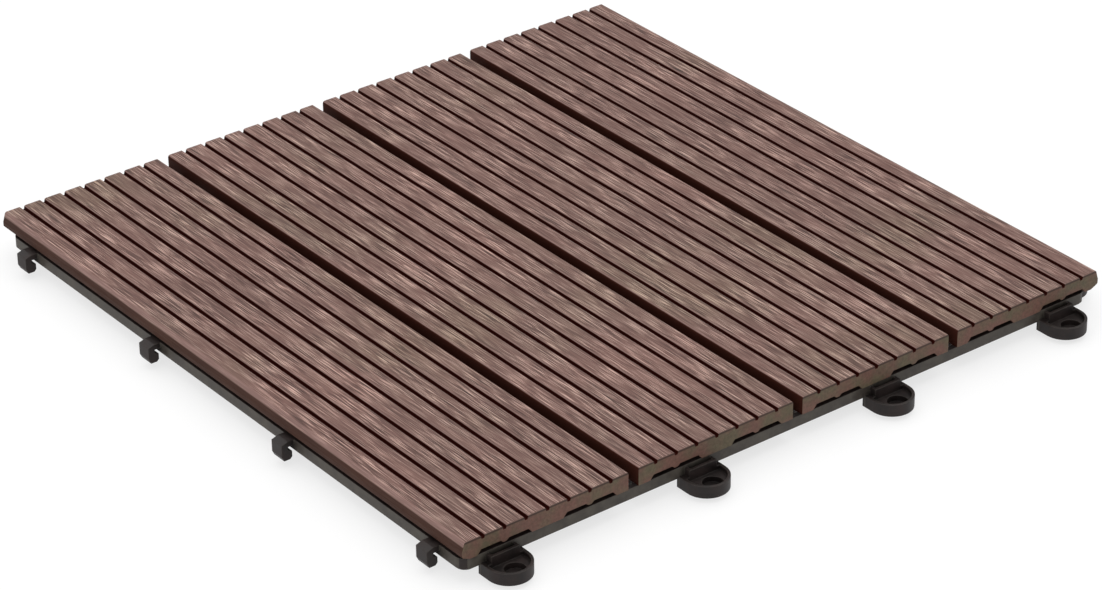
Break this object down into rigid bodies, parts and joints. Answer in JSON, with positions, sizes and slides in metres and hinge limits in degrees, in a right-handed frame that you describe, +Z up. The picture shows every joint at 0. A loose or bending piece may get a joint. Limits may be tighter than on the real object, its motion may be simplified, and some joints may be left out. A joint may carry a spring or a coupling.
{
  "type": "interlocking deck tile",
  "caption": "Square interlocking deck tile: grooved composite slats screwed to a moulded lattice base with loops and pegs that hook tiles together.",
  "frame": {"origin": "on the floor under the centre of the field of slats, which is the centre of a 300 mm square", "axes": "+Z up out of the walking surface, +Y along the slats towards the pegs' side, +X across the slats towards the loops' side; loops also stand out of -Y and pegs out of -X"},
  "size_m": [0.3133, 0.3133, 0.018],
  "materials": {
    "slat": "wood and plastic composite, embossed grain, reddish brown",
    "base": "moulded polypropylene, dark brown-black, satin",
    "screw": "zinc-plated steel"
  },
  "bodies": {
    "root": {"slat_1": "slat", "slat_2": "slat", "slat_3": "slat", "slat_4": "slat", "base": "base", "screws": "screw"}
  },
  "joints": []
}
